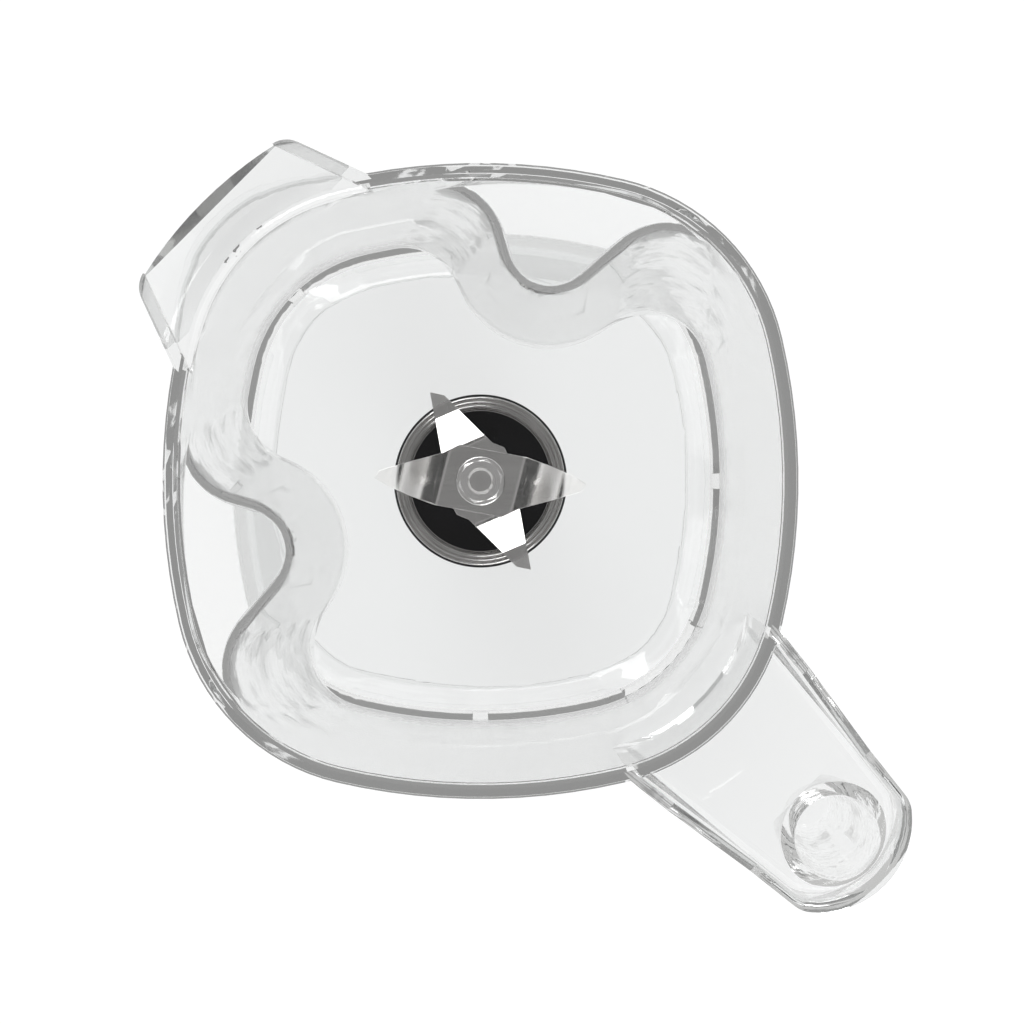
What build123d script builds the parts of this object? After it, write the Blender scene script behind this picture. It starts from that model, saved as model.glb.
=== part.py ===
from build123d import *
import os
from math import acos, cos, degrees, radians, sin, sqrt, tan

# A blender jar: one clear moulding with a spout, a handle and two flutes, and a
# blade unit clamped in its floor. The blade axis is Z, the jar stands on z = 0,
# the handle points along +X and the spout along -X. All sizes are millimetres.

# Jar walls
jar_height = 212.0
rim_half_width = 83.3
side_radius = 166.6
corner_radius = 55.4
draft_angle = 2.44
wall = 3.6
rim_chamfer = 1.0
rim_edge = 0.5
rim_band = 6.0
mouth_overrun = 1.0

# Jar floor and skirt
floor_top = 42.0
floor_thickness = 4.0
band_width = 9.7
band_height = 8.0
floor_round = 5.0
skirt_wall = 3.0
skirt_draft = 1.0
collar_step = 0.8

# Notches in the bottom edge of the skirt
notch_height = 4.0
handle_notch_width = 31.0
drain_notch_width = 5.0
drain_notch_angles = (45.0, 180.0, 315.0)

# Flutes: each is a rounded V pressed into the wall, closed above by a sloping shelf
flute_angle = 118.5
flute_centre = 72.4
flute_nose_radius = 29.0
flute_half_angle = 41.0
flute_draft = 5.2
flute_length = 75.0
flute_blend = 18.0
flute_web = 6.0
shelf_reach = 53.4
shelf_drop = 50.0
shelf_slope = 57.0
shelf_width = 100.0
shelf_lead = 5.0
shelf_setback = 0.3
shelf_round = 5.0

# Spout
spout_reach = 103.8
spout_front_half_width = 27.7
spout_flare = 20.2
spout_corner_radius = 7.0
spout_wall = 3.2
spout_floor_drop = 7.367
spout_floor_slope = 8.0
spout_floor_thickness = 3.0
spout_round = 3.0
spout_lip = 3.3
spout_lip_drop = 1.6
spout_root_drop = 18.0

# Handle arm
handle_reach = 153.9
handle_root_half_width = 27.2
handle_root_x = 88.0
handle_side_slope = 6.6
handle_end_bow = 11.15
handle_corner_radius = 8.0
handle_wall = 2.6
handle_level = 7.5
handle_ramp_length = 30.0
handle_drop = 28.0
trough_depth = 18.0
trough_round = 4.0
arm_thickness = 3.0
arm_round = 4.0
arm_root_depth = 62.0

# Hollow grip that hangs from the arm
grip_end_wall = 3.9
grip_wall = 3.6
grip_foot_height = 58.0
grip_foot_lean = 2.0
grip_foot_blend = 6.0
well_diameter = 23.6
well_foot_diameter = 15.0
well_foot_wall = 4.0

# Blade unit housing and its clamp
gasket_thickness = 0.8
gasket_overhang = 0.7
flange_diameter = 51.6
flange_thickness = 1.4
flange_round = 0.5
cup_bore = 43.7
cup_wall = 1.65
cup_depth = 6.0
cup_floor = 6.0
floor_hole_clearance = 0.3
hub_diameter = 28.0
hub_lip = 1.5
clamp_washer_thickness = 1.0
clamp_diameter = 51.0
clamp_nut_height = 6.5
clamp_slot_count = 6
clamp_slot_width = 4.5
clamp_slot_depth = 1.1

# Cover disc and seal
disc_thickness = 2.5
disc_clearance = 0.3
disc_hole_diameter = 16.6
dimple_count = 3
dimple_circle = 30.0
dimple_diameter = 3.2
dimple_depth = 1.2
dimple_angle = 122.0
seal_diameter = 20.0
seal_seat = 1.3
seal_running_clearance = 0.05

# Bearings
bearing_bore = 8.0
bearing_diameter = 22.0
bearing_width = 7.0
bearing_gap = 2.0
ball_diameter = 3.97
ball_count = 7
ball_clearance = 0.1
inner_race_wall = 2.05
outer_race_wall = 1.8
cage_wall = 1.8
cage_back = 2.8
cage_front = 1.2
circlip_thickness = 1.2
circlip_groove_depth = 0.7
circlip_width = 1.7
circlip_opening = 6.0

# Rotor
fit_clearance = 0.02
sleeve_diameter = 12.0
drive_head_diameter = 18.0
drive_head_foot = 3.0
drive_neck_diameter = 11.0
drive_neck_height = 1.5
socket_diameter = 10.0
socket_depth = 7.5
spline_count = 6
spline_diameter = 12.8
spline_width = 2.4
stud_end_chamfer = 0.8
stud_end_height = 1.5

# Blades, laid out with the long wings of the upper blade along U
blade_turn = 45.0
blade_height = 53.0
blade_thickness = 1.5
upper_bend_turn = -14.0
upper_bend = 13.0
upper_rise = 9.0
upper_ramp = 13.5
upper_tip_rise = 1.0
upper_bend_radius = 9.0
lower_bend_turn = 113.5
lower_bend = 11.5
lower_drop = 6.0
lower_ramp = 11.0
lower_bend_radius = 2.5
blade_span = 34.0

# Blade fastening
washer_diameter = 14.8
washer_thickness = 1.4
nut_flats = 12.0
nut_height = 6.5
nut_chamfer_angle = 30.0
nut_turn = 14.0

# Heights that follow from the sizes above
floor_bottom = floor_top - floor_thickness
cup_bottom = floor_top + gasket_thickness
ring_top = cup_bottom + flange_thickness
disc_top = ring_top - cup_depth
disc_bottom = disc_top - disc_thickness
bearing_shoulder = disc_bottom - cup_floor
upper_bearing_bottom = bearing_shoulder - bearing_width
lower_bearing_top = upper_bearing_bottom - bearing_gap
lower_bearing_bottom = lower_bearing_top - bearing_width
circlip_bottom = lower_bearing_bottom - circlip_thickness
hub_bottom = circlip_bottom - hub_lip
clamp_top = floor_bottom - clamp_washer_thickness
upper_blade_bottom = blade_height + blade_thickness
washer_bottom = upper_blade_bottom + blade_thickness
nut_bottom = washer_bottom + washer_thickness
stud_top = nut_bottom + nut_height + stud_end_height

# Angle from a flat side's middle to where its arc meets the corner's arc
side_spread = degrees(acos((side_radius - rim_half_width) / ((side_radius - corner_radius) * sqrt(2)))) - 45
corner_centre = (side_radius - corner_radius) * sin(radians(side_spread)) * sqrt(2)
mouth_reach = corner_centre + corner_radius - wall

# The spout's floor starts under the rim band and rises from the mouth to its crest
spout_floor_length = spout_reach - spout_lip - mouth_reach
spout_crest = jar_height - spout_floor_drop + spout_floor_length * tan(radians(spout_floor_slope))


def polar(distance, angle):
    return distance * cos(radians(angle)), distance * sin(radians(angle))


def ring(inner_radius, outer_radius, bottom, top):
    section = Plane.XZ * Pos((inner_radius + outer_radius) / 2, (bottom + top) / 2)
    return revolve(section * Rectangle(outer_radius - inner_radius, top - bottom), Axis.Z)


def turned(points):
    return revolve(make_face(Plane.XZ * Polyline(*points, close=True)), Axis.Z)


def rounded_square(inset, height):
    """The rim's outline, with corners on the axes, moved inwards by inset."""
    arcs = []
    for corner in (0, 90, 180, 270):
        side = corner + 45
        centre = polar(rim_half_width - side_radius, side)
        arcs.append(CenterArc(centre, side_radius - inset, side - side_spread, 2 * side_spread))
        corner_sweep = 90 - 2 * side_spread
        centre = polar(corner_centre, corner)
        arcs.append(CenterArc(centre, corner_radius - inset, corner - corner_sweep / 2, corner_sweep))
    return Pos(0, 0, height) * make_face(arcs)


def wall_inset(inset, height):
    """How far inside the rim's outline the drafted wall lies at a height."""
    return inset + (jar_height - height) * tan(radians(draft_angle))


def jar_form(inset, low, high):
    return extrude(rounded_square(wall_inset(inset, low), low), high - low, taper=-draft_angle)


def flute_form(inset, low, high, side):
    """The space outside one flute, as a drafted V with a rounded nose."""
    grown = inset - wall - (low - floor_top) * tan(radians(flute_draft))
    nose = flute_nose_radius + grown
    across = (nose * sin(radians(flute_half_angle)), nose * cos(radians(flute_half_angle)))
    left = (flute_centre - across[0], across[1])
    right = (flute_centre - across[0], -across[1])
    reach = (flute_length * cos(radians(flute_half_angle)), flute_length * sin(radians(flute_half_angle)))
    left_end = (left[0] + reach[0], left[1] + reach[1])
    right_end = (right[0] + reach[0], right[1] - reach[1])
    outline = [
        ThreePointArc(left, (flute_centre - nose, 0), right),
        Line(right, right_end),
        Line(right_end, left_end),
        Line(left_end, left),
    ]
    solid = extrude(make_face(outline), high - low, taper=flute_draft)
    return Rot(0, 0, side * flute_angle) * Pos(0, 0, low) * solid


def flute_shelf(inset, side):
    """A block that lies on the sloping shelf above one flute."""
    steep = radians(shelf_slope)
    normal = Vector(-sin(steep), 0, cos(steep))
    start = Vector(shelf_reach, 0, jar_height - shelf_drop) + normal * (inset - wall)
    surface = Plane(origin=start, x_dir=(0, 1, 0), z_dir=normal)
    block = Box(shelf_width, flute_length, shelf_drop, align=(Align.CENTER, Align.MAX, Align.MIN))
    return Rot(0, 0, side * flute_angle) * (surface * Pos(0, shelf_lead, 0) * block)


def flute_edges(body):
    """The edges where the flanks of the flutes run into the wall."""
    found = []
    for face in body.faces().filter_by(GeomType.PLANE).filter_by(Axis.Z, reverse=True):
        upright = [edge for edge in face.edges() if abs((edge @ 0).Z - (edge @ 1).Z) > band_height]
        upright.sort(key=lambda edge: (edge @ 0.5).X ** 2 + (edge @ 0.5).Y ** 2)
        found += upright[1:]
    return found


def shelf_edges(body):
    """The edges where the sloping shelves end over the flutes, without their edges on the wall."""
    shelves = body.faces().filter_by(GeomType.PLANE).filter_by(Axis.Z, reverse=True)
    found = []
    for shelf in shelves.filter_by(lambda face: abs(face.normal_at().Z) > cos(radians(shelf_slope)) / 2):
        found += shelf.edges().sort_by(Axis.Z)[:-2]
    return found


def rim_form(inset, high):
    """The plain upright band under the rim, which runs over the flutes too."""
    low = jar_height - rim_band
    return extrude(rounded_square(inset, low), high - low)


def fluted_form(inset, low, high):
    body = jar_form(inset, low, high)
    for side in (-1, 1):
        body = body - flute_form(inset, low, high, side)
    body = fillet(flute_edges(body), flute_blend + wall - inset)
    cap = jar_form(inset + shelf_setback, low, high)
    for side in (-1, 1):
        body = body + (cap & flute_shelf(inset, side))
    body = fillet(shelf_edges(body), shelf_round - wall + inset)
    return body + rim_form(inset, high)


def jar_outside():
    collar_top = floor_top + flute_web
    rim_foot = jar_height - rim_edge
    body = fluted_form(0, collar_top, rim_foot) + jar_form(-collar_step, 0, collar_top)
    return body + extrude(rounded_square(0, rim_foot), rim_edge, taper=45)


def jar_cavity():
    """The hollow inside, with the sloping band round its floor."""
    band_top = floor_top + band_height
    hollow = fluted_form(wall, floor_top, jar_height + mouth_overrun)
    band_slope = degrees(acos(band_height / sqrt(band_height**2 + band_width**2)))
    floor_outline = rounded_square(wall_inset(wall, band_top) + band_width, floor_top)
    bowl = extrude(floor_outline, 2 * band_height, taper=-band_slope)
    bowl = fillet(bowl.faces().sort_by(Axis.Z)[0].edges(), floor_round)
    bowl = bowl + jar_form(wall - band_width, floor_top + 2 * band_height, jar_height + 2 * mouth_overrun)
    mouth = extrude(rounded_square(wall, jar_height - rim_chamfer), 2 * rim_chamfer, taper=-45)
    return (hollow & bowl) + mouth


def skirt_hollow():
    """The space under the floor, which the motor base fills."""
    band_drop = floor_thickness * sqrt(1 + (band_height / band_width) ** 2)
    mouth = wall_inset(skirt_wall - collar_step, 0)
    ceiling = floor_top + band_height - band_drop
    solid = extrude(rounded_square(mouth, 0), ceiling, taper=skirt_draft)
    band_slope = degrees(acos(band_height / sqrt(band_height**2 + band_width**2)))
    lower_band = band_drop - floor_thickness
    floor_inset = wall_inset(wall, floor_top + band_height) + band_width * (1 - lower_band / band_height)
    under = extrude(rounded_square(floor_inset, floor_bottom), ceiling - floor_bottom, taper=-band_slope)
    return solid - under


def skirt_notches():
    cuts = []
    for angle in drain_notch_angles:
        cuts.append((angle, drain_notch_width))
    cuts.append((0, handle_notch_width))
    span = rim_half_width * sqrt(2)
    solids = []
    for angle, width in cuts:
        block = Box(span, width, 2 * notch_height)
        solids.append(Rot(0, 0, angle) * Pos(corner_centre + span / 2, 0, 0) * block)
    return solids


def spout_half_width(distance, inset):
    """Half the spout's width at a distance from the axis along -X."""
    front = sqrt(spout_reach**2 - spout_front_half_width**2)
    side_inset = inset / cos(radians(spout_flare))
    return spout_front_half_width - side_inset + (front - distance) * tan(radians(spout_flare))


def spout_outside():
    """The spout before it is hollowed, with a front edge round the jar's axis."""
    root_y = spout_half_width(corner_centre, 0)
    front_x = sqrt(spout_reach**2 - spout_front_half_width**2)
    front_y = spout_front_half_width
    outline = [
        Line((-corner_centre, -root_y), (-corner_centre, root_y)),
        Line((-corner_centre, root_y), (-front_x, front_y)),
        ThreePointArc((-front_x, front_y), (-spout_reach, 0), (-front_x, -front_y)),
        Line((-front_x, -front_y), (-corner_centre, -root_y)),
    ]
    plan = make_face(outline)
    plan = fillet(plan.vertices().sort_by(Axis.X)[:2], spout_corner_radius)
    root = jar_height - spout_root_drop
    lip = spout_crest - spout_floor_thickness
    side = Polyline(
        (-corner_centre, root),
        (-rim_half_width, root),
        (-spout_reach, lip),
        (-spout_reach, jar_height),
        (-corner_centre, jar_height),
        close=True,
    )
    block = Pos(0, 0, root) * extrude(plan, spout_root_drop)
    return block & extrude(make_face(Plane.XZ * side), spout_reach, both=True)


def spout_channel():
    """The open way from the mouth over the front edge of the spout."""
    outlet = spout_reach + spout_corner_radius
    root_y = spout_half_width(corner_centre, spout_wall)
    outlet_y = spout_half_width(outlet, spout_wall)
    plan = Polyline(
        (-corner_centre, -root_y),
        (-corner_centre, root_y),
        (-outlet, outlet_y),
        (-outlet, -outlet_y),
        close=True,
    )
    crest_distance = spout_reach - spout_lip
    low = spout_crest - (crest_distance - corner_centre) * tan(radians(spout_floor_slope))
    end = spout_crest - (outlet - crest_distance) * spout_lip_drop / spout_lip
    top = jar_height + mouth_overrun
    side = Polyline(
        (-corner_centre, low),
        (-crest_distance, spout_crest),
        (-outlet, end),
        (-outlet, top),
        (-corner_centre, top),
        close=True,
    )
    block = Pos(0, 0, min(low, end)) * extrude(make_face(plan), top - min(low, end))
    return block & extrude(make_face(Plane.XZ * side), spout_reach, both=True)


def spout_crease_round():
    """The rounding of the crease, held to a quarter of the length of the spout's floor."""
    return min(spout_round, spout_floor_length / 4)


def spout_crease(body):
    """The edges where the spout's floor turns down into the jar."""
    upright = Axis((0, 0, 0), (sin(radians(spout_floor_slope)), 0, cos(radians(spout_floor_slope))))
    floor = body.faces().filter_by(GeomType.PLANE).filter_by(upright)[0]
    curved = floor.edges().filter_by(GeomType.LINE, reverse=True)
    front = (mouth_reach + spout_reach) / 2
    return curved.filter_by(lambda edge: Vector((edge @ 0.5).X, (edge @ 0.5).Y).length < front)


def handle_outline(inset, end_inset):
    """The arm from above: straight sides that close in, and a bowed end."""
    slope = tan(radians(handle_side_slope))
    side_inset = inset / cos(radians(handle_side_slope))
    root_y = handle_root_half_width + (handle_root_x - corner_centre) * slope - side_inset
    end_half_width = handle_root_half_width + (handle_root_x - handle_reach + handle_end_bow) * slope
    end_radius = (end_half_width**2 + handle_end_bow**2) / (2 * handle_end_bow)
    radius = end_radius - end_inset
    centre = handle_reach - end_radius
    # the side line y = offset - slope * (x - centre) meets the end circle at the corner
    offset = root_y - slope * (centre - corner_centre)
    corner_x = (slope * offset + sqrt(radius**2 * (1 + slope**2) - offset**2)) / (1 + slope**2)
    corner_y = offset - slope * corner_x
    corner = (centre + corner_x, corner_y)
    outline = [
        Line((corner_centre, root_y), (corner_centre, -root_y)),
        Line((corner_centre, -root_y), (corner[0], -corner[1])),
        ThreePointArc((corner[0], -corner[1]), (centre + radius, 0), corner),
        Line(corner, (corner_centre, root_y)),
    ]
    face = make_face(outline)
    return fillet(face.vertices().sort_by(Axis.X)[2:], handle_corner_radius - inset)


def handle_arm():
    low = jar_height - handle_drop
    under = low - trough_depth - arm_thickness
    ramp_start = handle_root_x + handle_level
    ramp_end = ramp_start + handle_ramp_length
    grip_start = grip_centre() - well_diameter / 2 - grip_wall
    side = Polyline(
        (corner_centre, jar_height),
        (ramp_start, jar_height),
        (ramp_end, low),
        (handle_reach, low),
        (handle_reach, under),
        (grip_start, under),
        (corner_centre, jar_height - arm_root_depth),
        close=True,
    )
    block = Pos(0, 0, jar_height - arm_root_depth) * extrude(handle_outline(0, 0), arm_root_depth)
    arm = block & extrude(make_face(Plane.XZ * side), handle_reach, both=True)
    under_edges = [edge for face in arm.faces().sort_by(Axis.Z)[:2] for edge in face.edges()]
    return fillet(ShapeList(under_edges).filter_by(Axis.Y, reverse=True), arm_round)


def grip_centre():
    return handle_reach - grip_end_wall - well_diameter / 2


def tapered_round(foot, foot_radius, top, top_radius):
    """A tapered round bar that leans as the grip does."""
    lean = grip_foot_lean * (top - foot) / (jar_height - handle_drop - trough_depth - grip_foot_height)
    foot_face = Pos(grip_centre() - lean, 0, foot) * Circle(foot_radius)
    return loft([foot_face, Pos(grip_centre(), 0, top) * Circle(top_radius)], ruled=True)


def handle_grip():
    top = jar_height - handle_drop - trough_depth
    foot_radius = well_foot_diameter / 2 + grip_wall
    grip = tapered_round(grip_foot_height, foot_radius, top, well_diameter / 2 + grip_wall)
    return fillet(grip.faces().sort_by(Axis.Z)[0].edges(), grip_foot_blend)


def handle_trough():
    floor = jar_height - handle_drop - trough_depth
    depth = handle_drop + trough_depth + mouth_overrun
    trough = Pos(0, 0, floor) * extrude(handle_outline(handle_wall, grip_end_wall), depth)
    trough = fillet(trough.faces().sort_by(Axis.Z)[0].edges(), trough_round)
    return trough - jar_form(0, 0, jar_height + 2 * mouth_overrun)


def handle_well():
    floor = jar_height - handle_drop - trough_depth
    foot = grip_foot_height + well_foot_wall
    return tapered_round(foot, well_foot_diameter / 2, floor + mouth_overrun, well_diameter / 2)


def make_jar():
    handle = handle_arm() + handle_grip()
    handle = handle - jar_form(wall / 2, 0, jar_height + mouth_overrun)
    handle = handle - handle_trough() - handle_well()
    spout = spout_outside() - jar_form(wall / 2, 0, jar_height + mouth_overrun)
    body = jar_outside() + handle + spout
    body = body - jar_cavity()
    body = body - spout_channel()
    body = fillet(spout_crease(body), spout_crease_round())
    body = body - skirt_hollow()
    for notch in skirt_notches():
        body = body - notch
    hole = cup_bore / 2 + cup_wall + floor_hole_clearance
    return body - Pos(0, 0, floor_bottom) * Cylinder(hole, 4 * floor_thickness)


def make_seat_gasket():
    inner = cup_bore / 2 + cup_wall + floor_hole_clearance
    return ring(inner, flange_diameter / 2 + gasket_overhang, floor_top, cup_bottom)


def make_bearing_housing():
    cup = cup_bore / 2
    neck = cup + cup_wall
    bore = bearing_diameter / 2
    seal = seal_diameter / 2
    groove = bore + circlip_groove_depth
    seat = seal - seal_seat
    profile = [
        (neck, cup_bottom),
        (flange_diameter / 2, cup_bottom),
        (flange_diameter / 2, ring_top),
        (cup, ring_top),
        (cup, disc_bottom),
        (seal, disc_bottom),
        (seal, bearing_shoulder + seal_seat),
        (seat, bearing_shoulder + seal_seat),
        (seat, bearing_shoulder),
        (bore, bearing_shoulder),
        (bore, lower_bearing_bottom),
        (groove, lower_bearing_bottom),
        (groove, circlip_bottom),
        (bore, circlip_bottom),
        (bore, hub_bottom),
        (hub_diameter / 2, hub_bottom),
        (hub_diameter / 2, bearing_shoulder),
        (neck, bearing_shoulder),
    ]
    housing = turned(profile)
    top_edges = housing.edges().filter_by(GeomType.CIRCLE).group_by(Axis.Z)[-1]
    return fillet(top_edges, flange_round)


def make_clamp_washer():
    inner = cup_bore / 2 + cup_wall + floor_hole_clearance
    return ring(inner, clamp_diameter / 2, clamp_top, floor_bottom)


def make_clamp_nut():
    """A thin ring nut with slots round it for a hook spanner."""
    bore = cup_bore / 2 + cup_wall + fit_clearance
    nut = ring(bore, clamp_diameter / 2, clamp_top - clamp_nut_height, clamp_top)
    slot = Box(2 * clamp_slot_depth, clamp_slot_width, 2 * clamp_nut_height)
    for place in PolarLocations(clamp_diameter / 2, clamp_slot_count):
        nut = nut - Pos(0, 0, clamp_top) * place * slot
    return nut


def make_cover_disc():
    disc = ring(disc_hole_diameter / 2, cup_bore / 2 - disc_clearance, disc_bottom, disc_top)
    for place in PolarLocations(dimple_circle / 2, dimple_count, start_angle=dimple_angle):
        disc = disc - Pos(0, 0, disc_top) * place * Cylinder(dimple_diameter / 2, 2 * dimple_depth)
    return disc


def make_shaft_seal():
    inner = sleeve_diameter / 2 + seal_running_clearance
    return ring(inner, seal_diameter / 2 - fit_clearance, bearing_shoulder + seal_seat, disc_bottom)


def ball_circle_radius():
    return (bearing_bore + bearing_diameter) / 4


def raceway(middle):
    return Pos(0, 0, middle) * Torus(ball_circle_radius(), ball_diameter / 2 + ball_clearance)


def make_outer_race(bottom):
    outer = bearing_diameter / 2 - fit_clearance
    blank = ring(bearing_diameter / 2 - outer_race_wall, outer, bottom, bottom + bearing_width)
    return blank - raceway(bottom + bearing_width / 2)


def make_inner_race(bottom):
    inner = bearing_bore / 2 + fit_clearance
    blank = ring(inner, bearing_bore / 2 + inner_race_wall, bottom, bottom + bearing_width)
    return blank - raceway(bottom + bearing_width / 2)


def ball_places(bottom):
    middle = Pos(0, 0, bottom + bearing_width / 2)
    return [middle * place for place in PolarLocations(ball_circle_radius(), ball_count)]


def make_balls(bottom):
    return Compound([place * Sphere(ball_diameter / 2) for place in ball_places(bottom)])


def make_cage(bottom):
    middle = bottom + bearing_width / 2
    inner = ball_circle_radius() - cage_wall / 2
    cage = ring(inner, inner + cage_wall, middle - cage_front, middle + cage_back)
    for place in ball_places(bottom):
        cage = cage - place * Sphere(ball_diameter / 2 + ball_clearance)
    return cage


def make_outer_spacer():
    outer = bearing_diameter / 2 - fit_clearance
    return ring(bearing_diameter / 2 - outer_race_wall, outer, lower_bearing_top, upper_bearing_bottom)


def make_inner_spacer():
    inner = bearing_bore / 2 + fit_clearance
    return ring(inner, bearing_bore / 2 + inner_race_wall, lower_bearing_top, upper_bearing_bottom)


def make_circlip():
    outer = bearing_diameter / 2 + circlip_groove_depth - fit_clearance
    clip = ring(outer - circlip_width, outer, circlip_bottom, lower_bearing_bottom)
    opening = Pos(outer, 0, circlip_bottom) * Box(4 * circlip_width, circlip_opening, 4 * circlip_thickness)
    return clip - opening


def make_drive_shaft():
    stud = bearing_bore / 2
    neck_bottom = lower_bearing_bottom - drive_neck_height
    profile = [
        (0, drive_head_foot),
        (drive_head_diameter / 2, drive_head_foot),
        (drive_head_diameter / 2, neck_bottom),
        (drive_neck_diameter / 2, neck_bottom),
        (drive_neck_diameter / 2, lower_bearing_bottom),
        (stud, lower_bearing_bottom),
        (stud, stud_top - stud_end_chamfer),
        (stud - stud_end_chamfer, stud_top),
        (0, stud_top),
    ]
    socket = Circle(socket_diameter / 2)
    for turn in range(spline_count // 2):
        socket = socket + Rot(0, 0, turn * 360 / spline_count) * Rectangle(spline_diameter, spline_width)
    socket = Pos(0, 0, drive_head_foot) * extrude(socket, socket_depth)
    return turned(profile) - socket


def make_shaft_sleeve():
    inner = bearing_bore / 2 + fit_clearance
    return ring(inner, sleeve_diameter / 2, bearing_shoulder, blade_height)


def bent_strip(points, bend_radius):
    """A strip of blade steel bent along U, as wide as the blades are long."""
    line = FilletPolyline(*points, radius=bend_radius)
    section = make_face(offset(line, blade_thickness, side=Side.LEFT))
    return extrude(Plane.XZ * section, blade_span, both=True)


def blade_plate(half_outline):
    """The flat outline of a blade, from one half in shares of the span, which is turned for the other."""
    half = [(u * blade_span, v * blade_span) for u, v in half_outline]
    other_half = [(-u, -v) for u, v in half]
    plate = make_face(Polyline(*half, *other_half, close=True))
    plate = plate - Circle(bearing_bore / 2 + fit_clearance)
    return Pos(0, 0, -blade_span) * extrude(plate, 2 * blade_span)


def make_upper_blade():
    tip = upper_bend + upper_ramp
    path = [
        (-blade_span, upper_rise + upper_tip_rise),
        (-tip, upper_rise),
        (-upper_bend, 0),
        (upper_bend, 0),
        (tip, upper_rise),
        (blade_span, upper_rise + upper_tip_rise),
    ]
    half = [
        (-0.191, 0.324),
        (0.409, 0.212),
        (0.624, 0.132),
        (0.806, 0.050),
        (0.938, -0.029),
        (0.894, -0.094),
        (0.644, -0.168),
        (0.338, -0.250),
    ]
    blade = (Rot(0, 0, upper_bend_turn) * bent_strip(path, upper_bend_radius)) & blade_plate(half)
    return Pos(0, 0, upper_blade_bottom) * Rot(0, 0, blade_turn) * blade


def make_lower_blade():
    tip = lower_bend + lower_ramp
    path = [
        (-blade_span, -lower_drop),
        (-tip, -lower_drop),
        (-lower_bend, 0),
        (lower_bend, 0),
        (tip, -lower_drop),
        (blade_span, -lower_drop),
    ]
    half = [
        (0.241, 0.241),
        (0.212, 0.300),
        (0.103, 0.344),
        (-0.235, 0.682),
        (-0.324, 0.768),
        (-0.453, 0.797),
        (-0.353, 0.256),
    ]
    blade = (Rot(0, 0, lower_bend_turn) * bent_strip(path, lower_bend_radius)) & blade_plate(half)
    return Pos(0, 0, blade_height) * Rot(0, 0, blade_turn) * blade


def make_blade_washer():
    return ring(bearing_bore / 2 + fit_clearance, washer_diameter / 2, washer_bottom, nut_bottom)


def make_blade_nut():
    corner = nut_flats / sqrt(3)
    blank = RegularPolygon(nut_flats / 2, 6, major_radius=False) - Circle(bearing_bore / 2 + fit_clearance)
    nut = extrude(blank, nut_height)
    drop = (corner - nut_flats / 2) * tan(radians(nut_chamfer_angle))
    crown = turned(
        [(0, 0), (corner, 0), (corner, nut_height - drop), (nut_flats / 2, nut_height), (0, nut_height)]
    )
    return Pos(0, 0, nut_bottom) * Rot(0, 0, blade_turn + nut_turn) * (nut & crown)


def main():
    parts = {
        "jar": make_jar(),
        "seat_gasket": make_seat_gasket(),
        "bearing_housing": make_bearing_housing(),
        "clamp_washer": make_clamp_washer(),
        "clamp_nut": make_clamp_nut(),
        "cover_disc": make_cover_disc(),
        "shaft_seal": make_shaft_seal(),
        "bearing_spacer": make_outer_spacer(),
        "bearing_circlip": make_circlip(),
        "drive_shaft": make_drive_shaft(),
        "inner_spacer": make_inner_spacer(),
        "shaft_sleeve": make_shaft_sleeve(),
        "lower_blade": make_lower_blade(),
        "upper_blade": make_upper_blade(),
        "blade_washer": make_blade_washer(),
        "blade_nut": make_blade_nut(),
    }
    for name, bottom in (("upper", upper_bearing_bottom), ("lower", lower_bearing_bottom)):
        parts[name + "_outer_race"] = make_outer_race(bottom)
        parts[name + "_inner_race"] = make_inner_race(bottom)
        parts[name + "_balls"] = make_balls(bottom)
        parts[name + "_cage"] = make_cage(bottom)
    os.makedirs("parts", exist_ok=True)
    for name, part in parts.items():
        export_step(part, "parts/" + name + ".step")


main()
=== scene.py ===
import bmesh
import bpy
import numpy as np
from math import cos, pi, radians, sin
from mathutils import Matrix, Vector


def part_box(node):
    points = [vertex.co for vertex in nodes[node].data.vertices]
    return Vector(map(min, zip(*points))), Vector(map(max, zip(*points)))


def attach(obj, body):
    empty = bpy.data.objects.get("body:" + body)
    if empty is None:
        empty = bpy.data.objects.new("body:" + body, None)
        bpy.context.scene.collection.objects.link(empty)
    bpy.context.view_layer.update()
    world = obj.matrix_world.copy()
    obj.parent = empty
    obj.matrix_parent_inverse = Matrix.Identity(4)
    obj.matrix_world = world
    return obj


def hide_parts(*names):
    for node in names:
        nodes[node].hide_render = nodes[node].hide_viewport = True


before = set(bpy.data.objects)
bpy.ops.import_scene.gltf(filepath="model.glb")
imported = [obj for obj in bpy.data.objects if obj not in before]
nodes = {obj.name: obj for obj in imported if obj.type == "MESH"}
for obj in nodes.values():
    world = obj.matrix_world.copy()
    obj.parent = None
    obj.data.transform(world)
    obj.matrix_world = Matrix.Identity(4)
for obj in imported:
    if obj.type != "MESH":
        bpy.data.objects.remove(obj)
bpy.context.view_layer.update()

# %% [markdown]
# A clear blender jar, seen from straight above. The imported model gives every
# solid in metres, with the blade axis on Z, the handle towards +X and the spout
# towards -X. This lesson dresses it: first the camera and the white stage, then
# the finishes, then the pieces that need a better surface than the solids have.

scene = bpy.context.scene

# %% [markdown]
# The photograph looks straight down the blade axis with the handle at the lower
# right, so the camera hangs above the jar and is rolled an eighth of a turn. Its
# height decides how much smaller the floor looks than the rim. The jar isn't in
# the middle of the picture, and a small lens shift moves it there without
# leaning the camera.

# %% Camera
camera_height = 1.212
picture_pixels = 1024
focal_pixels = 3820
axis_in_picture = (480.5, 481.0)
sensor_millimetres = 36.0
camera_roll = radians(45.0)

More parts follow.
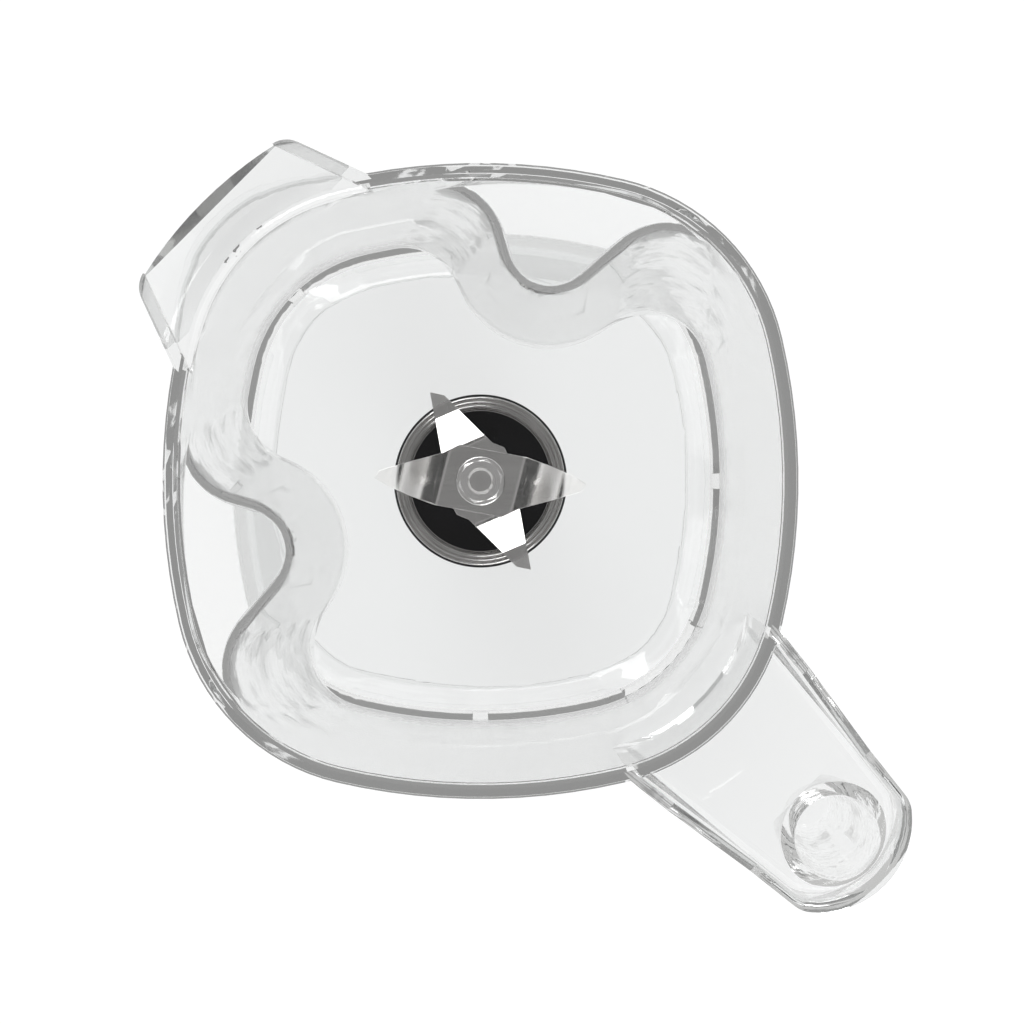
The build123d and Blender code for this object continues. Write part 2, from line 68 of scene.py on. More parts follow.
camera_data = bpy.data.cameras.new("camera")
camera_data.sensor_width = sensor_millimetres
camera_data.lens = focal_pixels * sensor_millimetres / picture_pixels
camera_data.shift_x = (picture_pixels / 2 - axis_in_picture[0]) / picture_pixels
camera_data.shift_y = (axis_in_picture[1] - picture_pixels / 2) / picture_pixels
camera_data.clip_start = 0.05
camera_data.clip_end = 20.0
camera = bpy.data.objects.new("camera", camera_data)
camera.location = (0.0, 0.0, camera_height)
camera.rotation_euler = (0.0, 0.0, camera_roll)
scene.collection.objects.link(camera)
scene.camera = camera
scene.view_settings.view_transform = "Standard"
shift = [round(value, 4) for value in (camera_data.shift_x, camera_data.shift_y)]
print("lens", round(camera_data.lens, 1), "mm, shift", shift)

# %% [markdown]
# Node trees are built in a few repeated moves: make a node, set its sockets, and
# link an output to an input. A sum takes numbers and links alike, a mix chooses
# between two shaders, and the distance from the blade axis is wanted by every
# finish that is turned or ground. Small helpers for these keep the later cells
# short.

# %% Helpers for node trees
def new_material(name):
    material = bpy.data.materials.new(name)
    material.use_nodes = True
    tree = material.node_tree
    tree.nodes.clear()
    output = tree.nodes.new("ShaderNodeOutputMaterial")
    return material, tree, output


def add_node(tree, kind, **inputs):
    node = tree.nodes.new(kind)
    for name, value in inputs.items():
        node.inputs[name.replace("_", " ")].default_value = value
    return node


def join(tree, source, target):
    tree.links.new(source, target)


def calculate(tree, operation, *values):
    node = tree.nodes.new("ShaderNodeMath")
    node.operation = operation
    for socket, value in zip(node.inputs, values):
        if isinstance(value, bpy.types.NodeSocket):
            join(tree, value, socket)
        else:
            socket.default_value = value
    return node.outputs[0]


def mix_shaders(tree, share, first, second):
    node = tree.nodes.new("ShaderNodeMixShader")
    join(tree, share, node.inputs["Fac"])
    join(tree, first.outputs[0], node.inputs[1])
    join(tree, second.outputs[0], node.inputs[2])
    return node


def axis_distance(tree):
    place = tree.nodes.new("ShaderNodeTexCoord")
    flatten = tree.nodes.new("ShaderNodeVectorMath")
    flatten.operation = "MULTIPLY"
    flatten.inputs[1].default_value = (1.0, 1.0, 0.0)
    join(tree, place.outputs["Object"], flatten.inputs[0])
    reach = tree.nodes.new("ShaderNodeVectorMath")
    reach.operation = "LENGTH"
    join(tree, flatten.outputs["Vector"], reach.inputs[0])
    return reach.outputs["Value"]


print("helpers ready")

# %% [markdown]
# Clear plastic has no colour of its own: it shows what is around it. A white
# table that glows for the rays that come straight from the camera, from a
# reflection or through the plastic gives an even white picture, while a part of
# its light is ordinary diffuse light, so the jar still throws a faint shadow.
# The two parts together come to just over one, which is white. A brighter table
# would hide the small losses that make the plastic visible.

# %% White table
table_glow = 0.78
table_grey = (0.4, 0.4, 0.4, 1.0)
table_reach = 6.0
table_level = -0.0004
white = (1.0, 1.0, 1.0, 1.0)


def make_table_paint():
    material, tree, output = new_material("white_table")
    paths = tree.nodes.new("ShaderNodeLightPath").outputs
    seen = calculate(tree, "MAXIMUM", paths["Is Camera Ray"], paths["Is Glossy Ray"])
    seen = calculate(tree, "MAXIMUM", seen, paths["Is Transmission Ray"])
    glow = calculate(tree, "MULTIPLY", seen, table_glow)
    emission = add_node(tree, "ShaderNodeEmission", Color=white)
    join(tree, glow, emission.inputs["Strength"])
    paint = add_node(tree, "ShaderNodeBsdfDiffuse", Color=table_grey)
    both = tree.nodes.new("ShaderNodeAddShader")
    join(tree, emission.outputs[0], both.inputs[0])
    join(tree, paint.outputs[0], both.inputs[1])
    join(tree, both.outputs[0], output.inputs["Surface"])
    return material


def make_table():
    mesh = bpy.data.meshes.new("table")
    turns = ((-1, -1), (1, -1), (1, 1), (-1, 1))
    corners = [(x * table_reach, y * table_reach, table_level) for x, y in turns]
    mesh.from_pydata(corners, [], [(0, 1, 2, 3)])
    mesh.materials.append(make_table_paint())
    table = bpy.data.objects.new("table", mesh)
    scene.collection.objects.link(table)
    return table


table = make_table()
print("table at", round(table.data.vertices[0].co.z, 5), "m")

# %% [markdown]
# The photograph's steel tells what stood around the jar. Level steel is grey, so
# it is dim above. Steel that leans is white, so the walls are bright up to about
# a third of the way and there are large lamps at the top and the bottom of the
# picture. The dark bands at the bends are the part of the ceiling between, and a
# paler ring just off straight above, as round a ceiling lamp, gives the thin
# bright bands beside them. The room is a ramp over the height of the direction,
# and camera rays see white.

# %% Room light
room_strength = 2.0
room_levels = (
    (0.0, 0.3), (0.3, 0.45), (0.385, 0.85), (0.47, 0.035),
    (0.92, 0.035), (0.965, 0.27), (0.992, 0.14),
)
lamp_size = (0.9, 0.6)
lamp_watts = 8.0


def make_room():
    world = bpy.data.worlds.new("room")
    world.use_nodes = True
    tree = world.node_tree
    tree.nodes.clear()
    output = tree.nodes.new("ShaderNodeOutputWorld")
    direction = tree.nodes.new("ShaderNodeTexCoord")
    parts = tree.nodes.new("ShaderNodeSeparateXYZ")
    join(tree, direction.outputs["Generated"], parts.inputs[0])
    ramp = tree.nodes.new("ShaderNodeValToRGB")
    ramp.color_ramp.interpolation = "EASE"
    while len(ramp.color_ramp.elements) < len(room_levels):
        ramp.color_ramp.elements.new(0.5)
    for element, (place, level) in zip(ramp.color_ramp.elements, room_levels):
        element.position = place
        element.color = (level, level, level, 1.0)
    join(tree, parts.outputs["Z"], ramp.inputs["Fac"])
    around = add_node(tree, "ShaderNodeBackground", Strength=room_strength)
    join(tree, ramp.outputs["Color"], around.inputs["Color"])
    behind = add_node(tree, "ShaderNodeBackground", Color=white, Strength=1.0)
    paths = tree.nodes.new("ShaderNodeLightPath")
    choice = mix_shaders(tree, paths.outputs["Is Camera Ray"], around, behind)
    join(tree, choice.outputs[0], output.inputs["Surface"])
    scene.world = world
    return world


def add_softbox(name, place):
    data = bpy.data.lights.new(name, "AREA")
    data.shape = "RECTANGLE"
    data.size, data.size_y = lamp_size
    data.energy = lamp_watts
    lamp = bpy.data.objects.new(name, data)
    lamp.location = place
    lamp.rotation_euler = (-Vector(place)).to_track_quat("-Z", "Y").to_euler()
    scene.collection.objects.link(lamp)
    return lamp


room = make_room()
softboxes = [
    add_softbox("softbox_top", (-1.08, 0.52, 0.85)),
    add_softbox("softbox_bottom", (1.08, -0.52, 0.85)),
]
print(room.name, "with lamps", [lamp.name for lamp in softboxes])

# %% [markdown]
# Light bounces many times inside a clear wall before it comes out. The renderer
# gives up after a set number of bounces and paints black. Higher limits cost time
# and still leave black specks in the rim, so the limits stay moderate here and the
# plastic itself gives the rays that have bounced often a painted grey glow. Dull
# surfaces pass light on only once, which is enough for a white table. Focused
# light patterns are switched off, because the plastic lets lamp light straight
# through instead.

# %% Light bounces
bounce_limit = 10
see_through_limit = 24
scene.cycles.max_bounces = bounce_limit
scene.cycles.transmission_bounces = bounce_limit
scene.cycles.glossy_bounces = bounce_limit
scene.cycles.diffuse_bounces = 1
scene.cycles.transparent_max_bounces = see_through_limit
scene.cycles.caustics_reflective = False
scene.cycles.caustics_refractive = False
print("bounces", scene.cycles.max_bounces)

# %% [markdown]
# Three small effects are shared by the finishes. Fine marks are a slow wave and
# a speckle for anything moulded. Ground lines are a noise squeezed in one
# direction, as a grinding belt leaves it. Turned lines are a noise that only
# depends on the distance from the axis, as a lathe leaves it. Each group gives a
# roughness and a height, and the shader itself stays in the material.

# %% Shared effects
def new_effect(name, inputs):
    group = bpy.data.node_groups.new(name, "ShaderNodeTree")
    for socket in inputs:
        group.interface.new_socket(socket, in_out="INPUT", socket_type="NodeSocketFloat")
    for socket in ("Roughness", "Height"):
        group.interface.new_socket(socket, in_out="OUTPUT", socket_type="NodeSocketFloat")
    entry = group.nodes.new("NodeGroupInput")
    leave = group.nodes.new("NodeGroupOutput")
    return group, entry, leave


def spread_roughness(group, entry, leave, pattern):
    spread = add_node(group, "ShaderNodeMapRange", From_Min=0.35, From_Max=0.7)
    join(group, pattern, spread.inputs["Value"])
    join(group, entry.outputs["Low"], spread.inputs["To Min"])
    join(group, entry.outputs["High"], spread.inputs["To Max"])
    join(group, spread.outputs["Result"], leave.inputs["Roughness"])


def make_fine_marks():
    group, entry, leave = new_effect("fine_marks", ("Wave Scale", "Mark Scale", "Low", "High"))
    place = group.nodes.new("ShaderNodeTexCoord")
    wave = add_node(group, "ShaderNodeTexNoise", Detail=1.0)
    join(group, place.outputs["Object"], wave.inputs["Vector"])
    join(group, entry.outputs["Wave Scale"], wave.inputs["Scale"])
    marks = add_node(group, "ShaderNodeTexNoise", Detail=4.0)
    join(group, place.outputs["Object"], marks.inputs["Vector"])
    join(group, entry.outputs["Mark Scale"], marks.inputs["Scale"])
    spread_roughness(group, entry, leave, marks.outputs["Fac"])
    join(group, wave.outputs["Fac"], leave.inputs["Height"])
    return group


def make_ground_lines():
    group, entry, leave = new_effect("ground_lines", ("Turn", "Line Scale", "Low", "High"))
    place = group.nodes.new("ShaderNodeTexCoord")
    turn = group.nodes.new("ShaderNodeVectorRotate")
    turn.rotation_type = "Z_AXIS"
    join(group, place.outputs["Object"], turn.inputs["Vector"])
    join(group, entry.outputs["Turn"], turn.inputs["Angle"])
    squeeze = add_node(group, "ShaderNodeMapping", Scale=(0.02, 1.0, 1.0))
    join(group, turn.outputs["Vector"], squeeze.inputs["Vector"])
    lines = add_node(group, "ShaderNodeTexNoise", Detail=5.0, Roughness=0.7)
    join(group, squeeze.outputs["Vector"], lines.inputs["Vector"])
    join(group, entry.outputs["Line Scale"], lines.inputs["Scale"])
    spread_roughness(group, entry, leave, lines.outputs["Fac"])
    join(group, lines.outputs["Fac"], leave.inputs["Height"])
    return group


def make_turned_lines():
    group, entry, leave = new_effect("turned_lines", ("Line Scale", "Low", "High"))
    lines = add_node(group, "ShaderNodeTexNoise", Detail=4.0, Roughness=0.7)
    lines.noise_dimensions = "1D"
    join(group, axis_distance(group), lines.inputs["W"])
    join(group, entry.outputs["Line Scale"], lines.inputs["Scale"])
    spread_roughness(group, entry, leave, lines.outputs["Fac"])
    join(group, lines.outputs["Fac"], leave.inputs["Height"])
    return group


fine_marks = make_fine_marks()
ground_lines = make_ground_lines()
turned_lines = make_turned_lines()
effects = (fine_marks, ground_lines, turned_lines)
print("effects", [group.name for group in effects])

# %% [markdown]
# A material takes an effect in two links. The roughness goes to the shader as it
# is. The height goes through a Bump node, which tilts the shading only: marks a
# few hundredths of a millimetre deep would need millions of faces as geometry.

# %% Use of an effect in a material
def use_effect(tree, shader, group, values, bump_strength, bump_distance):
    effect = tree.nodes.new("ShaderNodeGroup")
    effect.node_tree = group
    for name, value in values.items():
        effect.inputs[name].default_value = value
    bump = add_node(tree, "ShaderNodeBump", Strength=bump_strength, Distance=bump_distance)
    join(tree, effect.outputs["Height"], bump.inputs["Height"])
    join(tree, effect.outputs["Roughness"], shader.inputs["Roughness"])
    join(tree, bump.outputs["Normal"], shader.inputs["Normal"])
    return effect


print("nodes in each effect", [len(group.nodes) for group in effects])

# %% [markdown]
# The jar is an injection moulding of clear copolyester. Its surface is glossy
# with a very slight flow wave and fine wash marks. At the rim the sight line runs
# down inside the wall and is thrown from side to side, more often than can be
# followed. From the sixth bounce on such a ray gets a painted glow: an emission of
# the even grey that the real rim shows, painted up to twice as bright in the thin
# spout and in the handle. An absorbing volume would be the other way, but it is
# slower, and the rays that are cut off at the limit still leave black specks.
# Shadow rays and diffuse rays pass straight through, which lights the inside
# without noise.

# %% Clear plastic
plastic_tint = (0.885, 0.89, 0.888, 1.0)
plastic_index = 1.57
passing_tint = (0.93, 0.94, 0.94, 1.0)
plastic_marks = {"Wave Scale": 55.0, "Mark Scale": 900.0, "Low": 0.0, "High": 0.05}
followed_bounces = 5
# Painted glow: the grey that rays past the followed bounces emit in place of the light that would
# come out of the rim.
painted_rim_glow = (0.3, 0.3, 0.297, 1.0)
wall_end = 0.092
thin_start = 0.1
# The painted glow is up to this many times brighter out in the spout and the handle.
thin_glow_gain = 2.0


# Painted glow as an emission, made brighter beyond the wall towards the spout and the handle.
def make_painted_rim_glow(tree):
    place = tree.nodes.new("ShaderNodeTexCoord")
    along = tree.nodes.new("ShaderNodeSeparateXYZ")
    join(tree, place.outputs["Object"], along.inputs[0])
    away = calculate(tree, "ABSOLUTE", along.outputs["X"])
    paler = add_node(tree, "ShaderNodeMapRange", From_Min=wall_end, From_Max=thin_start)
    paler.inputs["To Min"].default_value = 1.0
    paler.inputs["To Max"].default_value = thin_glow_gain
    join(tree, away, paler.inputs["Value"])
    grey = add_node(tree, "ShaderNodeEmission", Color=painted_rim_glow)
    join(tree, paler.outputs["Result"], grey.inputs["Strength"])
    return grey


def make_clear_plastic():
    material, tree, output = new_material("clear_copolyester")
    plastic = tree.nodes.new("ShaderNodeBsdfPrincipled")
    plastic.inputs["Base Color"].default_value = plastic_tint
    plastic.inputs["Transmission Weight"].default_value = 1.0
    plastic.inputs["IOR"].default_value = plastic_index
    use_effect(tree, plastic, fine_marks, plastic_marks, 0.0015, 0.002)
    paths = tree.nodes.new("ShaderNodeLightPath").outputs
    lighting = calculate(tree, "MAXIMUM", paths["Is Shadow Ray"], paths["Is Diffuse Ray"])
    through = add_node(tree, "ShaderNodeBsdfTransparent", Color=passing_tint)
    clear = mix_shaders(tree, lighting, plastic, through)
    # Rays past the followed bounces get the painted grey glow instead of light.
    lost = calculate(tree, "GREATER_THAN", paths["Ray Depth"], followed_bounces + 0.5)
    with_rim_glow = mix_shaders(tree, lost, clear, make_painted_rim_glow(tree))
    join(tree, with_rim_glow.outputs[0], output.inputs["Surface"])
    material.cycles.emission_sampling = "NONE"
    return material


clear_plastic = make_clear_plastic()
print("material", clear_plastic.name)

# %% [markdown]
# The solids arrive as loose triangles that are shaded flat. For the pieces that
# are seen close, a copy of the solid is merged into one skin, shaded smooth where
# neighbouring triangles nearly agree, and left sharp at the real edges. Weighted
# normals let the large flat faces decide the shading, so that a flat face beside
# a narrow one still looks flat.

# %% Merged skins
merge_distance = 2e-6
sliver_size = 1e-6


def merged_copy(node, name, sharp_angle):
    mesh = bpy.data.meshes.new(name)
    shape = bmesh.new()
    shape.from_mesh(nodes[node].data)
    bmesh.ops.remove_doubles(shape, verts=shape.verts, dist=merge_distance)
    bmesh.ops.dissolve_degenerate(shape, edges=shape.edges, dist=sliver_size)
    for face in shape.faces:
        face.smooth = True
    for edge in shape.edges:
        edge.smooth = edge.calc_face_angle(pi) < sharp_angle
    shape.to_mesh(mesh)
    shape.free()
    piece = bpy.data.objects.new(name, mesh)
    scene.collection.objects.link(piece)
    return piece


def even_normals(piece):
    """Let the larger of two neighbouring faces decide the shading between them."""
    even = piece.modifiers.new("even", "WEIGHTED_NORMAL")
    even.weight = 100
    even.keep_sharp = True


print("corners merge within", merge_distance, "m")

# %% [markdown]
# Clear plastic shows each small error of a normal as a stroke. The wide blends of
# the jar are made of small uneven triangles, so there the normals are averaged
# with their neighbours many times. Corners on a sharp edge, on a large face or in
# a tight bend are held, or the averaging would round off the shape's own lines.

# %% Calm normals in wide blends
blend_area = 12e-6
blend_angle = radians(6.0)
blend_rounds = 40


def calm_normals(piece, small_area, tight_angle, rounds):
    """Average the shading normals inside wide blends, which are made of small triangles."""
    even_normals(piece)
    view = piece.evaluated_get(bpy.context.evaluated_depsgraph_get())
    mesh = piece.data
    count = len(mesh.loops)
    normals = np.empty(count * 3)
    view.data.corner_normals.foreach_get("vector", normals)
    normals = normals.reshape(-1, 3)
    piece.modifiers.clear()
    point = np.empty(count, dtype=int)
    mesh.loops.foreach_get("vertex_index", point)
    corner = np.arange(count)
    following = corner - corner % 3 + (corner + 1) % 3
    leading = corner - corner % 3 + (corner + 2) % 3
    areas = np.empty(len(mesh.polygons))
    mesh.polygons.foreach_get("area", areas)
    faces = np.empty(len(mesh.polygons) * 3)
    mesh.polygons.foreach_get("normal", faces)
    turned = (normals * np.repeat(faces.reshape(-1, 3), 3, axis=0)).sum(axis=1)
    held = np.zeros(len(mesh.vertices), dtype=bool)
    held[point[np.repeat(areas > small_area, 3) | (turned < cos(tight_angle))]] = True
    for edge in mesh.edges:
        if edge.use_edge_sharp:
            held[list(edge.vertices)] = True
    free = ~held[point]
    for _ in range(rounds):
        total = np.zeros((len(mesh.vertices), 3))
        np.add.at(total, point, normals + normals[following] + normals[leading])
        total /= np.maximum(np.linalg.norm(total, axis=1), 1e-9)[:, None]
        normals[free] = total[point[free]]
    mesh.normals_split_custom_set(normals.tolist())
    return int(free.sum())


print("blends are calmed in", blend_rounds, "rounds")

# %% [markdown]
# A finished skin rides on the body that its solid belongs to and takes the
# solid's place. Small metal pieces also get a narrow bevel, because no real edge
# is a perfect line: the bevel is what catches the light. The jar gets none, since
# its edges are already rounded in the solid where the moulding's are.

# %% The skin of a solid, and the jar
jar_sharp = radians(24.0)


def dress(node, body, material, sharp_angle, bevel_width=0.0, reshape=None):
    piece = merged_copy(node, node + "_skin", sharp_angle)
    piece.data.materials.append(material)
    if bevel_width > 0:
        bevel = piece.modifiers.new("edge", "BEVEL")
        bevel.width = bevel_width
        bevel.segments = 2
        bevel.limit_method = "ANGLE"
        bevel.angle_limit = sharp_angle
        if reshape:
            reshape(piece)
        even_normals(piece)
    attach(piece, body)
    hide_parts(node)
    return piece


jar_skin = dress("jar", "jar_body", clear_plastic, jar_sharp)
calmed = calm_normals(jar_skin, blend_area, blend_angle, blend_rounds)
print("jar skin", len(jar_skin.data.polygons), "faces,", calmed, "corners calmed")

# %% [markdown]
# A pressed ramp is never quite flat. The upper blade's ramps show broad bands of
# light and dark in the photograph, so they are bowed a little. A bump in the
# material would change the shading alone. Here the bevelled mesh is cut into
# narrow strips across the ramp and each strip is moved up or down along one turn
# of a sine, so the shape itself carries the bands.

# %% Bowed ramps
ramp_turn = radians(31.0)
ramp_start = 0.0135
ramp_end = 0.0265
ramp_bow = 0.00045
ramp_steps = 32
strip_width = (ramp_end - ramp_start) / ramp_steps


def bow_ramps(piece):
    """Cut the two ramps of a bevelled blade into strips and bend each ramp into a slight S."""
    view = piece.evaluated_get(bpy.context.evaluated_depsgraph_get())
    mesh = bpy.data.meshes.new_from_object(view)
    piece.modifiers.clear()
    along = Vector((cos(ramp_turn), sin(ramp_turn), 0.0))
    shape = bmesh.new()
    shape.from_mesh(mesh)
    for side in (-1, 1):
        for step in range(ramp_steps + 1):
            cut = side * (ramp_start + strip_width * step)
            whole = shape.verts[:] + shape.edges[:] + shape.faces[:]
            bmesh.ops.bisect_plane(
                shape, geom=whole, plane_co=along * cut, plane_no=along, dist=sliver_size)
    for point in shape.verts:
        share = (abs(point.co.dot(along)) - ramp_start) / (ramp_end - ramp_start)
        if 0 < share < 1:
            point.co.z -= ramp_bow * sin(2 * pi * share)
    shape.to_mesh(mesh)
    shape.free()
    piece.data = mesh


print("each ramp gets", ramp_steps, "strips", round(strip_width * 1000, 2), "mm wide")

# %% [markdown]
# The blades are stamped stainless strip, ground along their length. Brushed
# metal scatters light across its lines much more than along them, which the
# shader calls anisotropy. The lines turn with each blade, so each blade has its
# own copy of the finish. Towards the tips a grinding wheel has sharpened the
# blades, and there the steel is duller. The upper blade's tips are also given a
# much paler colour.

# %% Blade steel
blade_lines = {"Line Scale": 2600.0, "Low": 0.13, "High": 0.24}
blade_tint = (0.64, 0.63, 0.62, 1.0)
# A much paler colour towards the upper blade's tips.
pale_tip = (0.92, 0.91, 0.90, 1.0)
plain_tip = (0.66, 0.65, 0.64, 1.0)
tip_fade = 0.0012
metal_sharp = radians(30.0)
blade_bevel = 0.00012


def make_blade_steel(name, turn, tip_start, tip_tint, tip_roughness):
    material, tree, output = new_material(name)
    metal = tree.nodes.new("ShaderNodeBsdfPrincipled")
    metal.inputs["Metallic"].default_value = 1.0
    metal.inputs["Anisotropic"].default_value = 0.35
    belt = use_effect(tree, metal, ground_lines, {"Turn": turn, **blade_lines}, 0.12, 0.0002)
    tip_end = tip_start + tip_fade
    tip = add_node(tree, "ShaderNodeMapRange", From_Min=tip_start, From_Max=tip_end)
    join(tree, axis_distance(tree), tip.inputs["Value"])
    colour = tree.nodes.new("ShaderNodeMix")
    colour.data_type = "RGBA"
    join(tree, tip.outputs["Result"], colour.inputs[0])
    colour.inputs[6].default_value = blade_tint
    colour.inputs[7].default_value = tip_tint
    join(tree, colour.outputs[2], metal.inputs["Base Color"])
    rough = tree.nodes.new("ShaderNodeMix")
    join(tree, tip.outputs["Result"], rough.inputs[0])
    join(tree, belt.outputs["Roughness"], rough.inputs[2])
    rough.inputs[3].default_value = tip_roughness
    join(tree, rough.outputs[0], metal.inputs["Roughness"])
    join(tree, metal.outputs[0], output.inputs["Surface"])
    return material


def dress_steel(node, body, material, bevel_width=0.0, sharp_angle=metal_sharp, reshape=None):
    return dress(node, body, material, sharp_angle, bevel_width, reshape)


upper_steel = make_blade_steel("ground_steel_upper", radians(-45.0), 0.0245, pale_tip, 0.6)
lower_steel = make_blade_steel("ground_steel_lower", radians(-158.5), 0.0255, plain_tip, 0.28)
upper_skin = dress_steel("upper_blade", "blade_rotor", upper_steel, blade_bevel, reshape=bow_ramps)
lower_skin = dress_steel("lower_blade", "blade_rotor", lower_steel, blade_bevel)
print("blades", len(upper_skin.data.polygons), len(lower_skin.data.polygons), "faces")

# %% [markdown]
# The housing, the washers and the nuts are turned on a lathe, so their lines run
# round the axis. The tangent node gives the shader the direction of the lines.

# %% Turned steel
nut_sharp = radians(20.0)


def make_turned_steel(name, tint, low, high):
    material, tree, output = new_material(name)
    metal = tree.nodes.new("ShaderNodeBsdfPrincipled")
    metal.inputs["Base Color"].default_value = tint
    metal.inputs["Metallic"].default_value = 1.0
    metal.inputs["Anisotropic"].default_value = 0.4
    values = {"Line Scale": 3200.0, "Low": low, "High": high}
    use_effect(tree, metal, turned_lines, values, 0.15, 0.0002)
    round_axis = tree.nodes.new("ShaderNodeTangent")
    round_axis.direction_type = "RADIAL"
    round_axis.axis = "Z"
    join(tree, round_axis.outputs["Tangent"], metal.inputs["Tangent"])
    join(tree, metal.outputs[0], output.inputs["Surface"])
    return material


turned_steel = make_turned_steel("turned_steel", (0.68, 0.67, 0.66, 1.0), 0.1, 0.22)
bright_steel = make_turned_steel("bright_steel", (0.8, 0.79, 0.78, 1.0), 0.14, 0.26)
bearing_steel = make_turned_steel("bearing_steel", (0.7, 0.7, 0.72, 1.0), 0.05, 0.12)
housing_skin = dress_steel("bearing_housing", "jar_body", turned_steel)
washer_skin = dress_steel("blade_washer", "blade_rotor", bright_steel, 0.0003)
nut_skin = dress_steel("blade_nut", "blade_rotor", bright_steel, 0.00025, nut_sharp)
shaft_skin = dress_steel("drive_shaft", "blade_rotor", turned_steel, 0.0002)
print("turned", [piece.name for piece in (housing_skin, washer_skin, nut_skin, shaft_skin)])

# %% [markdown]
# The flange of the housing is rolled into low round beads, which the photograph
# shows as thin bright and dark circles. A bead is a small round section swept
# round a circle. Geometry Nodes makes one circle, copies it on a row of points,
# scales each copy to its own radius and sweeps them all, so the number of beads
# and their spacing stay two plain inputs.

# %% Rolled beads on the flange
def make_bead_tree():
    tree = bpy.data.node_groups.new("flange_beads", "GeometryNodeTree")
    face = tree.interface
    face.new_socket("Geometry", in_out="INPUT", socket_type="NodeSocketGeometry")
    face.new_socket("Beads", in_out="INPUT", socket_type="NodeSocketInt")
    for name in ("First Radius", "Spacing", "Bead Radius", "Level"):
        face.new_socket(name, in_out="INPUT", socket_type="NodeSocketFloat")
    face.new_socket("Material", in_out="INPUT", socket_type="NodeSocketMaterial")
    face.new_socket("Geometry", in_out="OUTPUT", socket_type="NodeSocketGeometry")
    entry = tree.nodes.new("NodeGroupInput")
    leave = tree.nodes.new("NodeGroupOutput")
    row = tree.nodes.new("GeometryNodeMeshLine")
    join(tree, entry.outputs["Beads"], row.inputs["Count"])
    start = tree.nodes.new("ShaderNodeCombineXYZ")
    join(tree, entry.outputs["Level"], start.inputs["Z"])
    join(tree, start.outputs[0], row.inputs["Start Location"])
    row.inputs["Offset"].default_value = (0.0, 0.0, 0.0)
    circle = tree.nodes.new("GeometryNodeCurvePrimitiveCircle")
    circle.inputs["Resolution"].default_value = 160
    circle.inputs["Radius"].default_value = 1.0
    index = tree.nodes.new("GeometryNodeInputIndex")
    steps = (index.outputs[0], entry.outputs["Spacing"], entry.outputs["First Radius"])
    radius = calculate(tree, "MULTIPLY_ADD", *steps)
    copies = tree.nodes.new("GeometryNodeInstanceOnPoints")
    join(tree, row.outputs["Mesh"], copies.inputs["Points"])
    join(tree, circle.outputs["Curve"], copies.inputs["Instance"])
    join(tree, radius, copies.inputs["Scale"])
    real = tree.nodes.new("GeometryNodeRealizeInstances")
    join(tree, copies.outputs["Instances"], real.inputs[0])
    section = tree.nodes.new("GeometryNodeCurvePrimitiveCircle")
    section.inputs["Resolution"].default_value = 16
    join(tree, entry.outputs["Bead Radius"], section.inputs["Radius"])
    sweep = tree.nodes.new("GeometryNodeCurveToMesh")
    join(tree, real.outputs[0], sweep.inputs["Curve"])
    join(tree, section.outputs["Curve"], sweep.inputs["Profile Curve"])
    whole = tree.nodes.new("GeometryNodeRealizeInstances")
    join(tree, sweep.outputs["Mesh"], whole.inputs[0])
    paint = tree.nodes.new("GeometryNodeSetMaterial")
    join(tree, whole.outputs[0], paint.inputs["Geometry"])
    join(tree, entry.outputs["Material"], paint.inputs["Material"])
    join(tree, paint.outputs["Geometry"], leave.inputs["Geometry"])
    return tree


bead_tree = make_bead_tree()
print("bead tree", len(bead_tree.nodes), "nodes")

# %% [markdown]
# The result of the modifier is turned into a plain mesh and the seed object is
# removed, so nothing live is left to go wrong in an export. The beads stand half
# in the flange, on its top level, and ride on the same body as the housing.

# %% Beads as a plain mesh
bead_sizes = {"Beads": 3, "First Radius": 0.02275, "Spacing": 0.00125, "Bead Radius": 0.00052}


def set_input(modifier, name, value):
    for item in modifier.node_group.interface.items_tree:
        if item.in_out == "INPUT" and item.name == name:
            modifier[item.identifier] = value


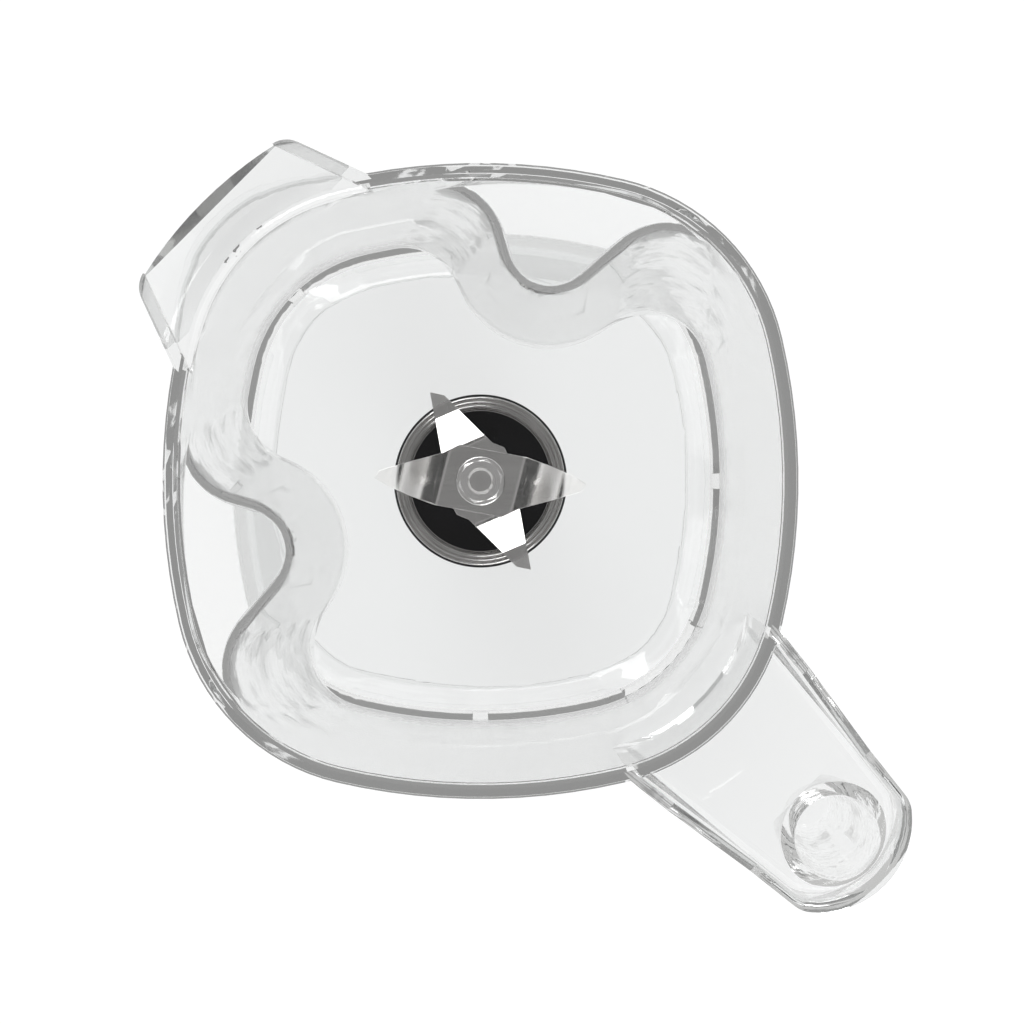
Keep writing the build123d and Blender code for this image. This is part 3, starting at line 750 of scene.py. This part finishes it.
def make_beads(flange_top):
    seed = bpy.data.objects.new("bead_seed", bpy.data.meshes.new("bead_seed"))
    scene.collection.objects.link(seed)
    modifier = seed.modifiers.new("beads", "NODES")
    modifier.node_group = bead_tree
    for name, value in bead_sizes.items():
        set_input(modifier, name, value)
    set_input(modifier, "Level", flange_top)
    set_input(modifier, "Material", turned_steel)
    view = seed.evaluated_get(bpy.context.evaluated_depsgraph_get())
    mesh = bpy.data.meshes.new_from_object(view)
    for polygon in mesh.polygons:
        polygon.use_smooth = True
    seed.modifiers.clear()
    bpy.data.objects.remove(seed)
    beads = bpy.data.objects.new("flange_beads", mesh)
    scene.collection.objects.link(beads)
    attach(beads, "jar_body")
    return beads


flange_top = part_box("bearing_housing")[1][2]
beads = make_beads(flange_top)
print("beads", len(beads.data.polygons), "faces at", round(flange_top, 5), "m")

# %% [markdown]
# The black disc in the cup is moulded and glossy. The gasket and the seal are
# soft rubber, dull and a little dusty. The ball cages are moulded too.

# %% Black finishes
def make_black(name, tint, low, high, bump):
    material, tree, output = new_material(name)
    surface = tree.nodes.new("ShaderNodeBsdfPrincipled")
    surface.inputs["Base Color"].default_value = tint
    values = {"Wave Scale": 160.0, "Mark Scale": 1800.0, "Low": low, "High": high}
    use_effect(tree, surface, fine_marks, values, bump, 0.001)
    join(tree, surface.outputs[0], output.inputs["Surface"])
    return material


gloss_black = make_black("gloss_black", (0.006, 0.006, 0.007, 1.0), 0.08, 0.2, 0.02)
dull_rubber = make_black("dull_rubber", (0.02, 0.02, 0.021, 1.0), 0.45, 0.7, 0.15)
disc_skin = dress("cover_disc", "jar_body", gloss_black, metal_sharp, 0.0003)
print("black pieces", disc_skin.name)

# %% [markdown]
# The pieces inside the housing and under the floor are hardly seen. They keep
# the solids as they are and only take a finish.

# %% Finishes of the other solids
bearing_parts = ("outer_race", "inner_race", "balls")
others = {
    "seat_gasket": dull_rubber, "shaft_seal": dull_rubber,
    "upper_cage": gloss_black, "lower_cage": gloss_black,
    "clamp_washer": turned_steel, "clamp_nut": turned_steel, "shaft_sleeve": turned_steel,
    "bearing_spacer": bearing_steel, "inner_spacer": bearing_steel,
    "bearing_circlip": bearing_steel,
}
for side in ("upper", "lower"):
    for part in bearing_parts:
        others[side + "_" + part] = bearing_steel
for name, material in others.items():
    nodes[name].data.materials.clear()
    nodes[name].data.materials.append(material)
print("dressed solids", len(others))
